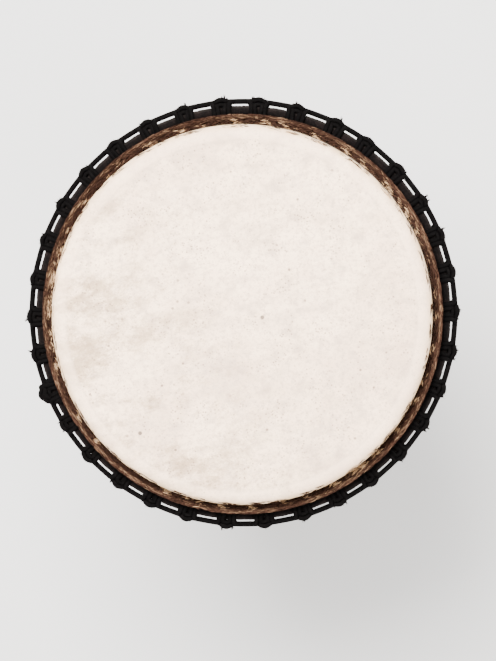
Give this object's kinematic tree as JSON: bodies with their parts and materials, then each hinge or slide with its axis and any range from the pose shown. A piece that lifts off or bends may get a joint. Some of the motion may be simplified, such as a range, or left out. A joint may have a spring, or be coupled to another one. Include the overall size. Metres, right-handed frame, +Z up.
{
  "type": "rope-tuned goblet hand drum",
  "caption": "Goblet-shaped hand drum with a carved hollow wooden body, a goatskin head and a rope-and-ring tuning system, standing on its open foot.",
  "frame": {"origin": "centre of the foot's resting face", "axes": "+Z up the drum's axis towards the head; the first hitch stands 4.7 degrees clockwise of +Y, seen from above"},
  "size_m": [0.3858, 0.3848, 0.601],
  "materials": {
    "shell_wood": "oiled reddish-brown hardwood with fine carving marks",
    "goatskin": "shaved, matte off-white rawhide with a hairy brown and cream edge",
    "ring_steel": "plain steel rod",
    "wrap_cloth": "black cotton strip wound tightly",
    "rope": "matte black braided cord with stray fibres"
  },
  "bodies": {
    "drum_body": {"shell": "shell_wood", "drum_skin": "goatskin", "lower_ring": "ring_steel", "lower_ring_wrap": "wrap_cloth", "lower_hitches": "rope", "lower_cradle_rope": "rope", "lower_rope_knot": "rope", "lacing": "rope", "lacing_tie_off": "rope"},
    "crown": {"crown_ring": "ring_steel", "crown_ring_wrap": "wrap_cloth", "crown_hitches": "rope", "crown_cradle_rope": "rope", "crown_rope_knot": "rope", "flesh_ring": "ring_steel"}
  },
  "joints": [
    {"name": "tuning_pull", "type": "slide", "parent": "drum_body", "child": "crown", "axis": [0, 0, -1], "range_m": [0, 0.006], "deforming": ["drum_skin", "lacing"]}
  ]
}
